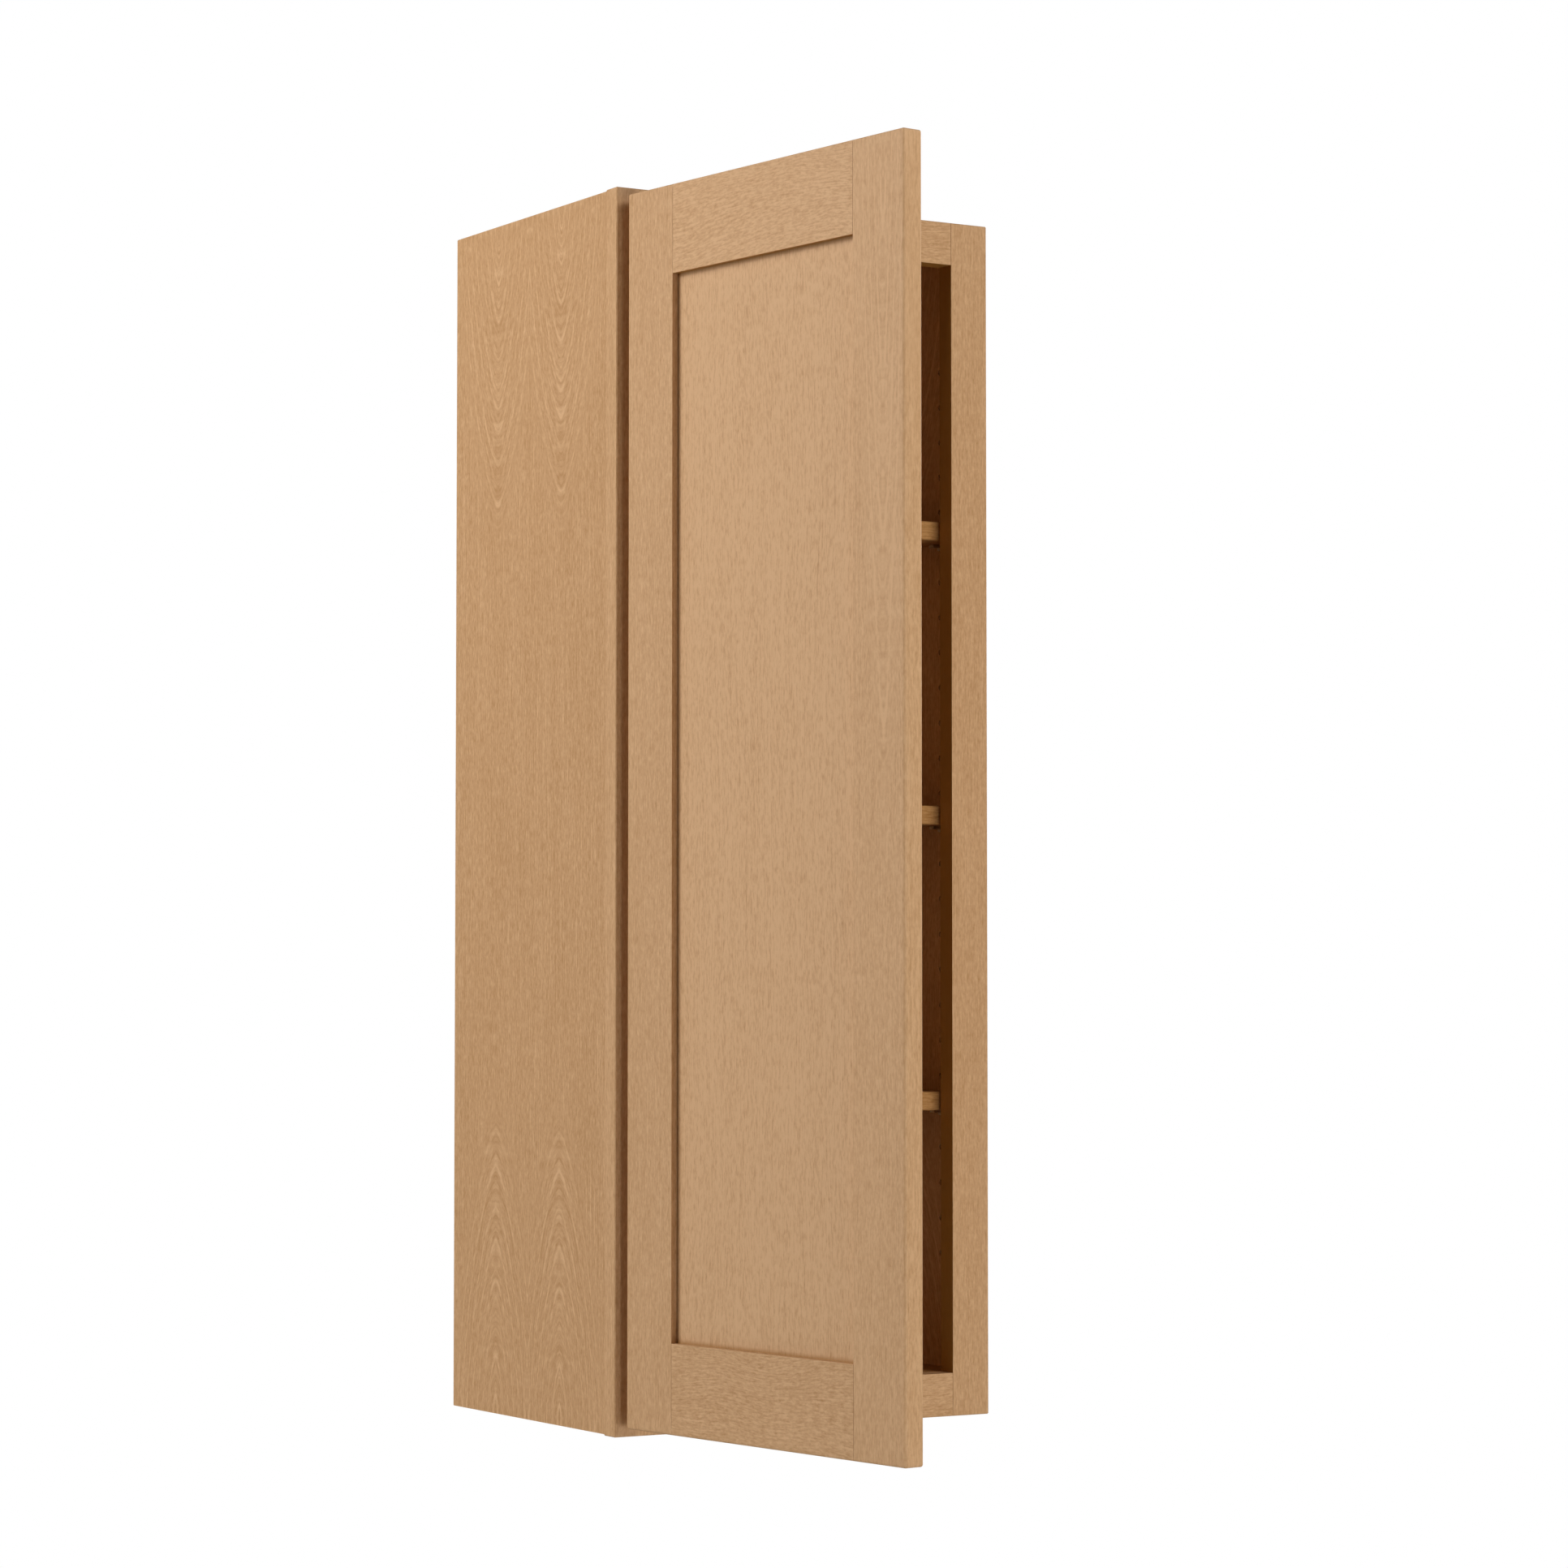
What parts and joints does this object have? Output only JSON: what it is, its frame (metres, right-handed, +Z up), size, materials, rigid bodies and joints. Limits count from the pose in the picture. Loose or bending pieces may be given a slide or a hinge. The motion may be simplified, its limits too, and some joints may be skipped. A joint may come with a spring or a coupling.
{
  "type": "hanging wall cabinet",
  "caption": "Tall narrow wall cabinet in stained wood with a face frame, one recessed-panel door on concealed hinges and adjustable shelves inside.",
  "frame": {"origin": "middle of the upper hanging rail's back face, on the wall plane", "axes": "+Z up, +Y into the wall, +X to the right of someone facing the door; the door faces -Y"},
  "size_m": [0.381, 0.6802, 1.0668],
  "materials": {
    "carcass_wood": "honey-stained maple-figured side panels, satin",
    "face_frame_wood": "honey-stained solid wood, satin lacquer",
    "door_wood": "honey-stained solid wood frame and veneered panel, satin lacquer",
    "interior_wood": "stained wood inside, shelves and rails, low sheen",
    "nickelled_steel": "nickel-plated pressed steel, satin",
    "clear_bumper": "clear soft bumper"
  },
  "bodies": {
    "cabinet": {"back_panel": "interior_wood", "bottom_panel": "interior_wood", "frame_rail_bottom": "face_frame_wood", "frame_rail_top": "face_frame_wood", "frame_stile_left": "face_frame_wood", "frame_stile_right": "face_frame_wood", "hanging_rail_bottom": "interior_wood", "hanging_rail_top": "interior_wood", "hinge_1_arm": "nickelled_steel", "hinge_1_arm_pin": "nickelled_steel", "hinge_1_arm_screw": "nickelled_steel", "hinge_2_arm": "nickelled_steel", "hinge_2_arm_pin": "nickelled_steel", "hinge_2_arm_screw": "nickelled_steel", "hinge_3_arm": "nickelled_steel", "hinge_3_arm_pin": "nickelled_steel", "hinge_3_arm_screw": "nickelled_steel", "shelf_1": "interior_wood", "shelf_2": "interior_wood", "shelf_3": "interior_wood", "side_left": "carcass_wood", "side_right": "carcass_wood", "support_1_left_back": "nickelled_steel", "support_1_left_front": "nickelled_steel", "support_1_right_back": "nickelled_steel", "support_1_right_front": "nickelled_steel", "support_2_left_back": "nickelled_steel", "support_2_left_front": "nickelled_steel", "support_2_right_back": "nickelled_steel", "support_2_right_front": "nickelled_steel", "support_3_left_back": "nickelled_steel", "support_3_left_front": "nickelled_steel", "support_3_right_back": "nickelled_steel", "support_3_right_front": "nickelled_steel", "top_panel": "interior_wood"},
    "hinge_links": {"hinge_1_link": "nickelled_steel", "hinge_2_link": "nickelled_steel", "hinge_3_link": "nickelled_steel"},
    "door": {"bumper_bottom": "clear_bumper", "bumper_top": "clear_bumper", "door_panel": "door_wood", "door_rail_bottom": "door_wood", "door_rail_top": "door_wood", "door_stile_free": "door_wood", "door_stile_hinge": "door_wood", "hinge_1_cup": "nickelled_steel", "hinge_1_cup_pin": "nickelled_steel", "hinge_1_cup_screw_lower": "nickelled_steel", "hinge_1_cup_screw_upper": "nickelled_steel", "hinge_2_cup": "nickelled_steel", "hinge_2_cup_pin": "nickelled_steel", "hinge_2_cup_screw_lower": "nickelled_steel", "hinge_2_cup_screw_upper": "nickelled_steel", "hinge_3_cup": "nickelled_steel", "hinge_3_cup_pin": "nickelled_steel", "hinge_3_cup_screw_lower": "nickelled_steel", "hinge_3_cup_screw_upper": "nickelled_steel"}
  },
  "joints": [
    {"name": "link_swing", "type": "hinge", "parent": "cabinet", "child": "hinge_links", "pos_m": [-0.1498, -0.30805, 0], "axis": [0, 0, -1], "range_deg": [-5.11, 24.91]},
    {"name": "door_swing", "type": "hinge", "parent": "hinge_links", "child": "door", "pos_m": [-0.17049, -0.32261, 0], "axis": [0, 0, -1], "range_deg": [-107.9, 22.1]}
  ],
  "couplings": [
    {"joint": "link_swing", "follows": "door_swing", "ratio": -0.23077}
  ]
}
